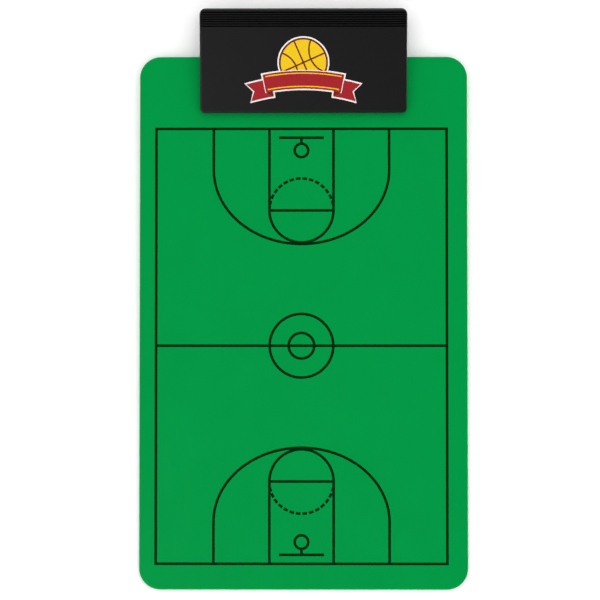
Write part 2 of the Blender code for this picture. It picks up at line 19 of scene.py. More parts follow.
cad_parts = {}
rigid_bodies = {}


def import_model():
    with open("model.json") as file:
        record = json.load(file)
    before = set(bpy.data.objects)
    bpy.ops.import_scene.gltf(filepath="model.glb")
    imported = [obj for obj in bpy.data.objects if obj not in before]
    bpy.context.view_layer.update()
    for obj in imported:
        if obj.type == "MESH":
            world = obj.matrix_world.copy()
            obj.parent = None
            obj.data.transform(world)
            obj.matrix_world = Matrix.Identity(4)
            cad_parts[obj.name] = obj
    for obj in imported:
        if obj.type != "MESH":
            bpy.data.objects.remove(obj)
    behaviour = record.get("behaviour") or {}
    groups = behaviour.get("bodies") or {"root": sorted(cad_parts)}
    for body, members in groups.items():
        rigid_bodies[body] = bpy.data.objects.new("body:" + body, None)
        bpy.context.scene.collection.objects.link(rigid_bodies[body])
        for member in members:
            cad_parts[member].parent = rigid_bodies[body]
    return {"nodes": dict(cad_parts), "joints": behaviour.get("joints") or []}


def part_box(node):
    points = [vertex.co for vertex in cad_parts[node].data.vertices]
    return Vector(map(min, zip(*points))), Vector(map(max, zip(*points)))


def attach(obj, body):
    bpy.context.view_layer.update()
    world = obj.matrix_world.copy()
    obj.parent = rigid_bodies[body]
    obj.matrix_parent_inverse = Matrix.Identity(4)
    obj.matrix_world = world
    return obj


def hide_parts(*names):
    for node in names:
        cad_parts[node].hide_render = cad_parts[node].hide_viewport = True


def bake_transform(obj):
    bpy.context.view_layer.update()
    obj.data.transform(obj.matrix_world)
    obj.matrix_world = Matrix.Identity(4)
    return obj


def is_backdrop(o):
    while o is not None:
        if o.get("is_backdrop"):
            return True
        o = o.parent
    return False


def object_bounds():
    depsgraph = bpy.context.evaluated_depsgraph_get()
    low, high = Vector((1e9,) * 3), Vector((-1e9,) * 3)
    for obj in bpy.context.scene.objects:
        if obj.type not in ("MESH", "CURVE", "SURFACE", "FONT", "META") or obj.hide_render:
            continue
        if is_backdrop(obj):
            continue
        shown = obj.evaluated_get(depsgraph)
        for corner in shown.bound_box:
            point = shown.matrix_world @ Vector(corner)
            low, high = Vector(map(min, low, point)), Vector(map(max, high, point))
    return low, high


for leftover in list(bpy.data.objects):
    bpy.data.objects.remove(leftover, do_unlink=True)
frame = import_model()
cad_low, cad_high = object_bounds()
nodes = frame["nodes"]
print("pieces:", ", ".join(sorted(nodes)))

# %% [markdown]
# Measure before dressing
#
# Printed ink has to lie exactly on a face, and a spring exactly on its pin. Copying numbers by hand
# would drift as soon as the model changed, so the places are read from the pieces themselves. The
# largest triangle on the front jaw that looks up lies in its printed face and gives its tilt.

# %% Find the printed faces and the hinge
MM = 0.001
board_low, board_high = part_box("board")
board_middle = (board_low + board_high) / 2
board_face = board_high.z

hinge = Vector(frame["joints"][0]["pos_m"])
jaw_mesh = nodes["front_jaw"].data
jaw_triangle = max((p for p in jaw_mesh.polygons if p.normal.z > 0), key=lambda p: p.area)
jaw_normal = jaw_triangle.normal.copy()
jaw_tilt = math.atan2(-jaw_normal.y, jaw_normal.z)
up_the_jaw = Vector((0, jaw_normal.z, -jaw_normal.y))
print(f"board face at {board_face / MM:.2f} mm, jaw tilted {math.degrees(jaw_tilt):.2f} degrees")

LARGE_TRIANGLE = (20 * MM) ** 2
SAME_WAY = 0.999  # two normals with a larger dot product than this count as parallel
jaw_corners = [
    jaw_mesh.vertices[v].co
    for p in jaw_mesh.polygons if p.area > LARGE_TRIANGLE and p.normal.dot(jaw_normal) > SAME_WAY
    for v in p.vertices
]
face_runs = [up_the_jaw.dot(corner - hinge) for corner in jaw_corners]
face_length = max(face_runs) - min(face_runs)
badge_run = (min(face_runs) + max(face_runs)) / 2
badge_centre = hinge + up_the_jaw * badge_run + jaw_normal * jaw_normal.dot(jaw_corners[0] - hinge)
print(f"badge {badge_run / MM:.1f} mm from the hinge on a face {face_length / MM:.1f} mm long")

# %% [markdown]
# Colours and nodes
#
# Paint charts and screens name colours in sRGB, but light adds up in linear values, so one function
# turns a hex code into linear red, green and blue. A second function adds any node to any tree,
# with its settings and its links in one call. Material recipes then read like lists of ingredients.

# %% Helpers for every material
def colour(code):
    """Linear RGBA from an sRGB code such as "#009946", by the curve of the sRGB standard."""
    channels = [int(code[i:i + 2], 16) / 255 for i in (1, 3, 5)]
    return (*(c / 12.92 if c <= 0.04045 else ((c + 0.055) / 1.055) ** 2.4 for c in channels), 1.0)


def add(tree, kind, inputs=None, **settings):
    """Adds one node. An input is a value or another node's output. A setting is the node's own."""
    node = tree.nodes.new(kind)
    for name, value in settings.items():
        setattr(node, name, value)
    for socket, value in (inputs or {}).items():
        if isinstance(value, bpy.types.NodeSocket):
            tree.links.new(value, node.inputs[socket])
        else:
            node.inputs[socket].default_value = value
    return node


def blank_material(name):
    """An empty material, its tree, and the output that tells a pattern its place on the piece."""
    material = bpy.data.materials.new(name)
    material.use_nodes = True
    material.node_tree.nodes.clear()
    place = add(material.node_tree, "ShaderNodeTexCoord").outputs["Object"]
    return material, material.node_tree, place


# %% [markdown]
# Clean shading for solid pieces
#
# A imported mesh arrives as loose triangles, and each corner carries its own stored normal. Round
# edges then show facets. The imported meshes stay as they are, so modifiers do the work: a small node
# group welds the corners, and keeps a hard line only where two faces meet at a real edge. A
# weighted normal on top lets the large flat faces stay perfectly flat beside their narrow rounded
# edges.

# %% Shade the solid pieces
SHARP_EDGE = math.radians(35)
WELD = 0.001 * MM


def crisp_shading_group():
    group = bpy.data.node_groups.new("crisp_shading", "GeometryNodeTree")
    for direction in ("INPUT", "OUTPUT"):
        group.interface.new_socket("Geometry", in_out=direction, socket_type="NodeSocketGeometry")
    incoming = add(group, "NodeGroupInput").outputs["Geometry"]
    plain = add(group, "GeometryNodeRemoveAttribute", {
        "Geometry": incoming, "Name": "custom_normal",
    })
    welded = add(group, "GeometryNodeMergeByDistance", {
        "Geometry": plain.outputs[0], "Distance": WELD,
    })
    smooth = add(group, "GeometryNodeSetShadeSmooth", {
        "Geometry": welded.outputs[0],
    }, domain="FACE")
    bend = add(group, "GeometryNodeInputMeshEdgeAngle").outputs["Unsigned Angle"]
    is_edge = add(group, "FunctionNodeCompare", {
        "A": bend, "B": SHARP_EDGE,
    }, operation="GREATER_THAN")
    crisp = add(group, "GeometryNodeSetShadeSmooth", {
        "Geometry": smooth.outputs[0], "Selection": is_edge.outputs[0], "Shade Smooth": False,
    }, domain="EDGE")
    add(group, "NodeGroupOutput", {"Geometry": crisp.outputs[0]})
    return group


crisp_shading = crisp_shading_group()
for piece in nodes.values():
    piece.modifiers.new("crisp_shading", "NODES").node_group = crisp_shading
    weighted = piece.modifiers.new("flat_faces_stay_flat", "WEIGHTED_NORMAL")
    weighted.keep_sharp = True
print(f"shading set on {len(nodes)} pieces")

# %% [markdown]
# The board: green high-impact polystyrene
#
# The board is moulded from high-impact polystyrene between polished steel plates, so that marker
# ink wipes off. It is a dense, even green with a soft gloss. Three things keep it from looking like
# paint on a screen: the pigment clouds very slightly, the mould's polish leaves a long shallow
# waviness, and wiping leaves streaks that are a little duller than the rest.

# %% Finish the board
BOARD_GREEN = "#009946"
PIGMENT_CLOUD, PIGMENT_CHANGE = 35 * MM, 0.02
WIPE_WIDTH, WIPE_LENGTH, WIPE_LEAN = 9 * MM, 120 * MM, math.radians(24)
POLISHED, WIPED = 0.16, 0.2
POLISH_WAVE, POLISH_DEPTH = 7 * MM, 0.0015 * MM
POLYSTYRENE_IOR = 1.59
NOISE_SPAN = {"From Min": 0.3, "From Max": 0.7}  # nearly all of a noise's values lie in it


def dress(piece, material):
    """Puts one material on every face of a piece."""
    for slot in range(len(piece.data.materials)):
        piece.data.materials[slot] = material
    if not piece.data.materials:
        piece.data.materials.append(material)


def moulded_green_polystyrene():
    material, tree, place = blank_material("high_impact_polystyrene_green_polished_mould")
    cloud = add(tree, "ShaderNodeTexNoise", {
        "Vector": place, "Scale": 1 / PIGMENT_CLOUD, "Detail": 3.0,
    })
    density = add(tree, "ShaderNodeMapRange", {
        "Value": cloud.outputs["Fac"], **NOISE_SPAN,
        "To Min": 1 - PIGMENT_CHANGE, "To Max": 1 + PIGMENT_CHANGE,
    })
    green = add(tree, "ShaderNodeHueSaturation", {
        "Value": density.outputs["Result"], "Color": colour(BOARD_GREEN),
    })
    along_wipe = add(tree, "ShaderNodeMapping", {
        "Vector": place, "Rotation": (0, 0, WIPE_LEAN),
        "Scale": (1 / WIPE_WIDTH, 1 / WIPE_LENGTH, 1 / WIPE_WIDTH),
    })
    wipe = add(tree, "ShaderNodeTexNoise", {
        "Vector": along_wipe.outputs["Vector"], "Scale": 1.0, "Detail": 4.0, "Roughness": 0.6,
    })
    gloss = add(tree, "ShaderNodeMapRange", {
        "Value": wipe.outputs["Fac"], **NOISE_SPAN, "To Min": POLISHED, "To Max": WIPED,
    })
    wave = add(tree, "ShaderNodeTexNoise", {
        "Vector": place, "Scale": 1 / POLISH_WAVE, "Detail": 2.0,
    })
    polish = add(tree, "ShaderNodeBump", {
        "Height": wave.outputs["Fac"], "Distance": POLISH_DEPTH,
    })
    shader = add(tree, "ShaderNodeBsdfPrincipled", {
        "Base Color": green.outputs["Color"], "Roughness": gloss.outputs["Result"],
        "IOR": POLYSTYRENE_IOR, "Normal": polish.outputs["Normal"],
    })
    add(tree, "ShaderNodeOutputMaterial", {"Surface": shader.outputs["BSDF"]})
    return material


dress(nodes["board"], moulded_green_polystyrene())
print("board:", nodes["board"].data.materials[0].name)

# %% [markdown]
# The jaws: black polystyrene from a spark-eroded mould
#
# Both jaws are injection moulded in polystyrene coloured with carbon black. Their mould was
# finished by spark erosion, which leaves a fine pitted grain. It spreads highlights, so the clip
# looks satin charcoal and not glossy black. The real pits are about 0.1 mm across, too fine to show
# in the picture, so they are drawn 0.6 mm across.
#
# Hands polish the edges, and a Bevel node finds those: where its rounded normal leans away from the
# real one, there is an edge. The sparks don't reach into narrow places, so the grip grooves stay
# smooth. Their colour is also darkened there, as painted shade standing in for the shade that falls
# in them. An Ambient Occlusion node finds them, because it measures how open a point's surroundings
# are within a short reach.

# %% Finish the jaws
CLIP_BLACK = "#0A0A0A"
CLIP_CLOUD, CLIP_CHANGE = 18 * MM, 0.07
GRAIN_PIT, GRAIN_DEPTH = 0.6 * MM, 0.008 * MM
SATIN, POLISHED_EDGE, SMOOTH_GROOVE = 0.41, 0.35, 0.18
EDGE_SOFTNESS, EDGE_SAMPLES = 0.06 * MM, 6
EDGE_LEAN = 0.85  # the dot product of the rounded and the real normal where the polish is full
GROOVE_REACH, GROOVE_SAMPLES = 1.2 * MM, 8
GROOVE_SPAN = {"From Min": 0.4, "From Max": 0.95}  # how open a groove's floor is, and a flat face
GROOVE_PAINTED_SHADE = 0.4  # painted shade: how much of its colour the plastic keeps at the floor of a groove


def moulded_black_polystyrene():
    material, tree, place = blank_material("polystyrene_carbon_black_spark_eroded_mould")
    cloud = add(tree, "ShaderNodeTexNoise", {
        "Vector": place, "Scale": 1 / CLIP_CLOUD, "Detail": 4.0,
    })
    density = add(tree, "ShaderNodeMapRange", {
        "Value": cloud.outputs["Fac"], **NOISE_SPAN,
        "To Min": 1 - CLIP_CHANGE, "To Max": 1 + CLIP_CHANGE,
    })
    openness = add(tree, "ShaderNodeAmbientOcclusion", {
        "Distance": GROOVE_REACH,
    }, samples=GROOVE_SAMPLES, only_local=True)
    # Painted shade: the colour is darkened where the grooves are recessed, as if shade fell there.
    groove_painted_shade = add(tree, "ShaderNodeMapRange", {
        "Value": openness.outputs["AO"], **GROOVE_SPAN, "To Min": GROOVE_PAINTED_SHADE, "To Max": 1.0,
    })
    tone_and_painted_shade = add(tree, "ShaderNodeMath", {
        0: density.outputs["Result"], 1: groove_painted_shade.outputs["Result"],
    }, operation="MULTIPLY")
    black_with_painted_shade = add(tree, "ShaderNodeHueSaturation", {
        "Value": tone_and_painted_shade.outputs[0], "Color": colour(CLIP_BLACK),
    })
    softened = add(tree, "ShaderNodeBevel", {"Radius": EDGE_SOFTNESS}, samples=EDGE_SAMPLES)
    pits = add(tree, "ShaderNodeTexNoise", {
        "Vector": place, "Scale": 1 / GRAIN_PIT, "Detail": 2.0, "Roughness": 0.6,
    })
    grain = add(tree, "ShaderNodeBump", {
        "Height": pits.outputs["Fac"], "Distance": GRAIN_DEPTH,
        "Normal": softened.outputs["Normal"],
    })
    facing = add(tree, "ShaderNodeNewGeometry").outputs["Normal"]
    lean = add(tree, "ShaderNodeVectorMath", {
        0: softened.outputs["Normal"], 1: facing,
    }, operation="DOT_PRODUCT")
    sheen = add(tree, "ShaderNodeMapRange", {
        "Value": lean.outputs["Value"], "From Min": EDGE_LEAN, "From Max": 1.0,
        "To Min": POLISHED_EDGE, "To Max": SATIN,
    })
    finish = add(tree, "ShaderNodeMapRange", {
        "Value": openness.outputs["AO"], **GROOVE_SPAN,
        "To Min": SMOOTH_GROOVE, "To Max": sheen.outputs["Result"],
    })
    shader = add(tree, "ShaderNodeBsdfPrincipled", {
        "Base Color": black_with_painted_shade.outputs["Color"], "Roughness": finish.outputs["Result"],
        "IOR": POLYSTYRENE_IOR, "Normal": grain.outputs["Normal"],
    })
    add(tree, "ShaderNodeOutputMaterial", {"Surface": shader.outputs["BSDF"]})
    return material


clip_black = moulded_black_polystyrene()
for name in ("front_jaw", "back_jaw"):
    dress(nodes[name], clip_black)
print("jaws:", clip_black.name)

# %% [markdown]
# The pin, the rivets and the washers: zinc-plated steel
#
# Cheap steel hardware is barrel plated with zinc against rust. The plating is bright but slightly
# milky, the passivation on it shifts between a cold blue and a warm straw, and tumbling in the
# barrel leaves small dents. A metal has no colour of its own under its reflections, so the tint
# goes into the base colour, and most of the look comes from uneven roughness.

# %% Finish the steel
ZINC_PATCH = 3.5 * MM
ZINC_TINTS = ((0.35, "#C2C9D0"), (0.65, "#D2CEC2"))  # the noise's value where each tint is pure
BARREL_DENT, BARREL_DEPTH = 0.5 * MM, 0.002 * MM
ZINC_BRIGHT, ZINC_MILKY = 0.24, 0.42


def barrel_plated_zinc():
    material, tree, place = blank_material("zinc_plated_steel_barrel_tumbled")
    patch = add(tree, "ShaderNodeTexNoise", {
        "Vector": place, "Scale": 1 / ZINC_PATCH, "Detail": 3.0,
    })
    tint = add(tree, "ShaderNodeValToRGB", {"Fac": patch.outputs["Fac"]})
    for stop, (position, code) in zip(tint.color_ramp.elements, ZINC_TINTS):
        stop.position = position
        stop.color = colour(code)
    dents = add(tree, "ShaderNodeTexNoise", {
        "Vector": place, "Scale": 1 / BARREL_DENT, "Detail": 3.0,
    })
    milk = add(tree, "ShaderNodeMapRange", {
        "Value": dents.outputs["Fac"], **NOISE_SPAN, "To Min": ZINC_BRIGHT, "To Max": ZINC_MILKY,
    })
    tumbled = add(tree, "ShaderNodeBump", {
        "Height": dents.outputs["Fac"], "Distance": BARREL_DEPTH,
    })
    shader = add(tree, "ShaderNodeBsdfPrincipled", {
        "Base Color": tint.outputs["Color"], "Metallic": 1.0,
        "Roughness": milk.outputs["Result"], "Normal": tumbled.outputs["Normal"],
    })
    add(tree, "ShaderNodeOutputMaterial", {"Surface": shader.outputs["BSDF"]})
    return material


zinc = barrel_plated_zinc()
hardware = [name for name in nodes if name.startswith(("hinge_pin", "rivet_", "washer_"))]
for name in hardware:
    dress(nodes[name], zinc)
print("zinc-plated pieces:", len(hardware))

# %% [markdown]
# Printed ink as thin solid shapes
#
# A print could be a picture wrapped on the face, but then the lines would blur and the mesh would
# not carry them. Real ink is a layer with a thickness, so here it is one too. A line of ink starts
# as a 2D curve that is extruded to the ink's height, like a low fence. An area of ink starts as the
# same kind of curve, filled.

# %% Draw strokes and outlines
INK_ABOVE = 0.03 * MM
INK_BELOW = 0.02 * MM  # how far an ink reaches into the face under it, so that no gap shows


def arc(centre, radii, start, end, steps):
    """Points on a circle or an ellipse, from one angle to another."""
    (x, y), (across, up) = centre, radii
    angles = (start + (end - start) * i / steps for i in range(steps + 1))
    return [(x + across * math.cos(a), y + up * math.sin(a)) for a in angles]


def ring(centre, radius, steps):
    return arc(centre, (radius, radius), 0, math.tau * (steps - 1) / steps, steps - 1)


def ink_curve(name, strokes, above, filled):
    """A flat curve through each (points, closed) stroke, from just under a face to above it."""
    curve = bpy.data.curves.new(name, "CURVE")
    curve.dimensions = "2D"
    curve.fill_mode = "BOTH" if filled else "NONE"
    curve.extrude = (above + INK_BELOW) / 2
    for points, closed in strokes:
        spline = curve.splines.new("POLY")
        spline.points.add(len(points) - 1)
        for point, (x, y) in zip(spline.points, points):
            point.co = (x, y, 0, 1)
        spline.use_cyclic_u = closed
    drawn = bpy.data.objects.new(name, curve)
    bpy.context.scene.collection.objects.link(drawn)
    drawn.location.z = (above - INK_BELOW) / 2
    return drawn


# %% [markdown]
# From curves to closed solids
#
# Solidify gives the fence of a line its width, with square ends and sharp mitred corners. Where
# lines cross, or one shape lies partly on another in the same coat, a Boolean union makes them one.
# Each result is settled into a plain mesh, and a count of open edges tells whether it is closed.

# %% Turn curves into ink
def settled(drawn):
    """The object's evaluated shape as a plain mesh object with its seams welded."""
    name = drawn.name
    bpy.context.view_layer.update()
    evaluated = drawn.evaluated_get(bpy.context.evaluated_depsgraph_get())
    mesh = bpy.data.meshes.new_from_object(evaluated)
    mesh.transform(drawn.matrix_world)
    bpy.data.objects.remove(drawn, do_unlink=True)
    shape = bmesh.new()
    shape.from_mesh(mesh)
    bmesh.ops.remove_doubles(shape, verts=shape.verts, dist=WELD)
    shape.to_mesh(mesh)
    shape.free()
    mesh.shade_flat()
    solid = bpy.data.objects.new(name, mesh)
    bpy.context.scene.collection.objects.link(solid)
    return solid


def ink_lines(name, strokes, width, above=INK_ABOVE):
    drawn = ink_curve(name, strokes, above, filled=False)
    fence = drawn.modifiers.new("line_width", "SOLIDIFY")
    fence.thickness = width
    fence.offset = 0
    fence.use_even_offset = True
    return settled(drawn)


def ink_area(name, outline, above):
    return settled(ink_curve(name, [(outline, True)], above, filled=True))


def printed_together(first, *others):
    """One clean solid from shapes that overlap each other or themselves."""
    for number, other in enumerate(others):
        union = first.modifiers.new("union", "BOOLEAN")
        union.operation = "UNION"
        union.solver = "EXACT"
        union.use_self = number == 0
        union.object = other
    joined = settled(first)
    for other in others:
        bpy.data.objects.remove(other, do_unlink=True)
    return joined


def open_edges(piece):
    """How many edges of a piece don't join exactly two faces. A closed solid has none."""
    shape = bmesh.new()
    shape.from_mesh(piece.data)
    loose = sum(len(edge.link_faces) != 2 for edge in shape.edges)
    shape.free()
    return loose


# %% [markdown]
# The court
#
# The diagram is the common plan of a basketball court, drawn to the board and not to scale: the
# print was stretched so that both ends leave a margin. Each end is the same drawing mirrored about
# the centre line. The free-throw circle is solid towards the middle and dashed towards the hoop.

# %% Draw the court
LINE = 2 * MM
COURT_WIDTH, COURT_LENGTH = 214.9 * MM, 321.2 * MM
COURT_RIGHT_OF_MIDDLE, COURT_ABOVE_MIDDLE = -1.5 * MM, -17.3 * MM
CENTRE_CIRCLES = (23.5 * MM, 9.45 * MM)
TO_FREE_THROW_LINE, TO_BACKBOARD, TO_HOOP = 60.5 * MM, 6.57 * MM, 16 * MM  # from the end line
LANE_HALF_WIDTH, BACKBOARD_WIDTH, HOOP_RADIUS = 23.7 * MM, 33.2 * MM, 5 * MM
ARC_STRAIGHT, ARC_DEPTH, ARC_HALF_WIDTH = 30.65 * MM, 54.7 * MM, 64.9 * MM
DASH, DASH_PITCH, DASHES = 3.5 * MM, 4.85 * MM, 16
ARC_STEPS, DASH_STEPS = 96, 4


def court_end(side):
    """The strokes of one end. side is 1 for the end at the clip and -1 for the other."""
    def up(distance):
        return side * (COURT_LENGTH / 2 - distance)

    line = up(TO_FREE_THROW_LINE)
    lane = [(x * LANE_HALF_WIDTH, y) for x, y in ((-1, up(0)), (-1, line), (1, line), (1, up(0)))]
    circle = (LANE_HALF_WIDTH, LANE_HALF_WIDTH)
    yield lane, False
    yield arc((0, line), circle, 0, -side * math.pi, ARC_STEPS // 2), False
    pitch, half_dash = DASH_PITCH / LANE_HALF_WIDTH, DASH / LANE_HALF_WIDTH / 2
    for number in range(DASHES):
        middle = side * (math.pi / 2 + (number - (DASHES - 1) / 2) * pitch)
        yield arc((0, line), circle, middle - half_dash, middle + half_dash, DASH_STEPS), False
    bend = up(ARC_STRAIGHT)
    three = arc((0, bend), (ARC_HALF_WIDTH, ARC_DEPTH), 0, -side * math.pi, ARC_STEPS)
    yield [(ARC_HALF_WIDTH, up(0)), *three, (-ARC_HALF_WIDTH, up(0))], False
    half_board = BACKBOARD_WIDTH / 2
    yield [(-half_board, up(TO_BACKBOARD)), (half_board, up(TO_BACKBOARD))], False
    yield [(0, up(TO_BACKBOARD)), (0, up(TO_HOOP - HOOP_RADIUS))], False
    yield ring((0, up(TO_HOOP)), HOOP_RADIUS, ARC_STEPS // 2), True


half_width, half_length = COURT_WIDTH / 2, COURT_LENGTH / 2
boundary = [(x * half_width, y * half_length) for x, y in ((-1, -1), (1, -1), (1, 1), (-1, 1))]
strokes = [([(-half_width, 0), (half_width, 0)], False)]
strokes += [(ring((0, 0), radius, ARC_STEPS), True) for radius in CENTRE_CIRCLES]
for side in (1, -1):
    strokes += court_end(side)
court = printed_together(
    ink_lines("court_diagram", strokes, LINE), ink_lines("court_boundary", [(boundary, True)], LINE)
)
court.location = (
    board_middle.x + COURT_RIGHT_OF_MIDDLE, board_middle.y + COURT_ABOVE_MIDDLE, board_face,
)
faces = len(court.data.polygons)
print(f"court: {len(strokes) + 1} strokes, {faces} faces, {open_edges(court)} open edges")

# %% [markdown]
# Inks
#
# The court is screen printed: ink is squeezed through a mesh, levels out into a smooth, fairly
# glossy coat, and keeps a faint mark of the weave. Its black lets a little of the green through, as
# one thin coat does. The badge on the clip is pad printed: a soft rubber pad lays down thinner,
# duller coats, one colour after another.
#
# Both inks share a recipe, and differ in colour, gloss and the texture that their process leaves.
# The real textures are finer than 0.3 mm, too fine to show, and are drawn about a millimetre wide.

# %% Mix the inks
SCREEN_BLACK = "#00290A"
PAD_COLOURS = {"red": "#A8232B", "gold": "#F7CC1E", "maroon": "#6E2418", "white": "#F4F2EE"}
SCREEN_MESH, SCREEN_RELIEF = 0.9 * MM, 0.004 * MM
PAD_STIPPLE, PAD_RELIEF = 1.2 * MM, 0.002 * MM
SCREEN_ROUGHNESS, PAD_ROUGHNESS, ROUGHNESS_CHANGE = 0.22, 0.34, 0.04
COVER_CHANGE = 0.05


def dried_ink(name, code, roughness, texture, relief):
    material, tree, place = blank_material(name)
    stipple = add(tree, "ShaderNodeTexNoise", {
        "Vector": place, "Scale": 1 / texture, "Detail": 2.0,
    })
    cover = add(tree, "ShaderNodeMapRange", {
        "Value": stipple.outputs["Fac"], **NOISE_SPAN,
        "To Min": 1 - COVER_CHANGE, "To Max": 1 + COVER_CHANGE,
    })
    pigment = add(tree, "ShaderNodeHueSaturation", {
        "Value": cover.outputs["Result"], "Color": colour(code),
    })
    surface = add(tree, "ShaderNodeBump", {
        "Height": stipple.outputs["Fac"], "Distance": relief,
    })
    dryness = add(tree, "ShaderNodeMapRange", {
        "Value": stipple.outputs["Fac"], **NOISE_SPAN,
        "To Min": roughness - ROUGHNESS_CHANGE, "To Max": roughness + ROUGHNESS_CHANGE,
    })
    shader = add(tree, "ShaderNodeBsdfPrincipled", {
        "Base Color": pigment.outputs["Color"], "Roughness": dryness.outputs["Result"],
        "Normal": surface.outputs["Normal"],
    })
    add(tree, "ShaderNodeOutputMaterial", {"Surface": shader.outputs["BSDF"]})
    return material


screen_black = dried_ink(
    "screen_ink_black", SCREEN_BLACK, SCREEN_ROUGHNESS, SCREEN_MESH, SCREEN_RELIEF
)
pad_inks = {
    word: dried_ink("pad_ink_" + word, code, PAD_ROUGHNESS, PAD_STIPPLE, PAD_RELIEF)
    for word, code in PAD_COLOURS.items()
}
dress(court, screen_black)
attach(court, "base")
print("inks:", screen_black.name, *(ink.name for ink in pad_inks.values()))

# %% [markdown]
# A plain badge for the clip
#
# Clips of this kind are often printed in three or four flat colours. Here these make a generic
# badge: a gold basketball behind an empty red ribbon. The ribbon is symmetric and bent along a
# circle, so each of its points is given by how far it lies along the middle line and how far above
# it. It has a panel in front, and on either side a swallow tail that comes out from under the panel
# in a dark fold.

# %% Lay out the ribbon
RIBBON_BEND = 150 * MM  # the radius of its middle line
HALF_RIBBON = 6.5 * MM  # half of its height
RIBBON_ABOVE_CENTRE = -8 * MM
PANEL_HALF_WIDTH, TAIL_HALF_WIDTH = 29 * MM, 42 * MM
TAIL_DROP, TAIL_TUCK, TAIL_NOTCH = 4 * MM, 5.5 * MM, 4.5 * MM
PINSTRIPE, PINSTRIPE_INSET = 0.8 * MM, 1.7 * MM
BADGE_STEPS = 48


def on_ribbon(along, above):
    """A point that lies so far along the ribbon's bent middle line, and so far above it."""
    angle, radius = along / RIBBON_BEND, RIBBON_BEND + above
    return (radius * math.sin(angle), radius * math.cos(angle) - RIBBON_BEND + RIBBON_ABOVE_CENTRE)


def ribbon_piece(start, end, low, high, notch=0.0, grow=0.0):
    """A stretch of ribbon between two distances along it. A notch gives its end a swallow tail."""
    outward = math.copysign(grow, end - start)
    start, end, low, high = start - outward, end + outward, low - grow, high + grow
    places = [start + (end - start) * i / BADGE_STEPS for i in range(BADGE_STEPS + 1)]
    top = [on_ribbon(place, high) for place in places]
    bottom = [on_ribbon(place, low) for place in reversed(places)]
    tip = [on_ribbon(end - math.copysign(notch, end - start), (low + high) / 2)] if notch else []
    return top + tip + bottom


def panel(grow=0.0):
    return ribbon_piece(-PANEL_HALF_WIDTH, PANEL_HALF_WIDTH, -HALF_RIBBON, HALF_RIBBON, grow=grow)


def tail(hand, grow=0.0):
    start, end = hand * (PANEL_HALF_WIDTH - TAIL_TUCK), hand * TAIL_HALF_WIDTH
    low, high = -HALF_RIBBON - TAIL_DROP, HALF_RIBBON - TAIL_DROP
    return ribbon_piece(start, end, low, high, TAIL_NOTCH, grow)


def fold(hand):
    """The shaded back of the ribbon, where it turns under the panel's lower corner."""
    outer, inner = hand * PANEL_HALF_WIDTH, hand * (PANEL_HALF_WIDTH - TAIL_TUCK)
    corners = ((outer, -HALF_RIBBON), (inner, -HALF_RIBBON), (inner, -HALF_RIBBON - TAIL_DROP))
    return [on_ribbon(along, above) for along, above in corners]


stripes = []
for level in (HALF_RIBBON - PINSTRIPE_INSET, PINSTRIPE_INSET - HALF_RIBBON):
    span = PANEL_HALF_WIDTH - PINSTRIPE_INSET
    steps = [span * (2 * i / BADGE_STEPS - 1) for i in range(BADGE_STEPS + 1)]
    stripes.append(([on_ribbon(place, level) for place in steps], False))
print(f"ribbon: {2 * TAIL_HALF_WIDTH / MM:.0f} mm wide, {len(stripes)} pinstripes")

# %% [markdown]
# The ball
#
# A basketball shows four seams from the side: two cross in the middle, and two bow towards it, each
# part of a circle that is centred beside the ball. They are drawn upright and then turned together,
# so that the ball seems to roll.

# %% Lay out the ball
BALL_RADIUS, BALL_RIM = 18 * MM, 1.3 * MM
BALL_ABOVE_CENTRE = 4.5 * MM
BALL_TURN = math.radians(24)
SEAM = 1.15 * MM
SIDE_SEAM_RADIUS, SIDE_SEAM_OFFSET = 17 * MM, 23 * MM
ball_centre = (0.0, BALL_ABOVE_CENTRE)


def disc(radius):
    return ring(ball_centre, radius, 2 * BADGE_STEPS)


def side_seam(hand):
    """The part, inside the ball, of a circle centred beside it."""
    reach = SIDE_SEAM_OFFSET ** 2 + SIDE_SEAM_RADIUS ** 2 - BALL_RADIUS ** 2
    half = math.acos(reach / (2 * SIDE_SEAM_OFFSET * SIDE_SEAM_RADIUS))
    facing = 0 if hand < 0 else math.pi
    centre, radii = (hand * SIDE_SEAM_OFFSET, 0), (SIDE_SEAM_RADIUS, SIDE_SEAM_RADIUS)
    return arc(centre, radii, facing - half, facing + half, BADGE_STEPS)


def turned_ball(points):
    """Turns seam points by the ball's lean and moves them to its centre."""
    lean = Matrix.Rotation(BALL_TURN, 2)
    return [tuple(lean @ Vector(point) + Vector(ball_centre)) for point in points]


across, upright = [(-BALL_RADIUS, 0), (BALL_RADIUS, 0)], [(0, -BALL_RADIUS), (0, BALL_RADIUS)]
seams = [side_seam(-1), side_seam(1), across, upright]
seam_strokes = [(turned_ball(points), False) for points in seams]
print(f"ball: {2 * BALL_RADIUS / MM:.0f} mm across, {len(seam_strokes)} seams")

# %% [markdown]
# One coat on another
#
# The badge is worked out like a real pad print. White goes down first and shows as an outline round
# everything. The gold ball and its maroon seams follow, and then the ribbon from back to front:
# tails, folds, panel and pinstripes. Each coat is a little higher than the one under it, so the top
# colour always wins, as it does in the press. The finished coats are turned and moved together onto
# the jaw's tilted face.

# %% Print the badge
COAT = 0.012 * MM
OUTLINE = 1.1 * MM
onto_jaw = Matrix.Translation(badge_centre) @ Matrix.Rotation(jaw_tilt, 4, "X")


def coat(number):
    return INK_ABOVE + number * COAT


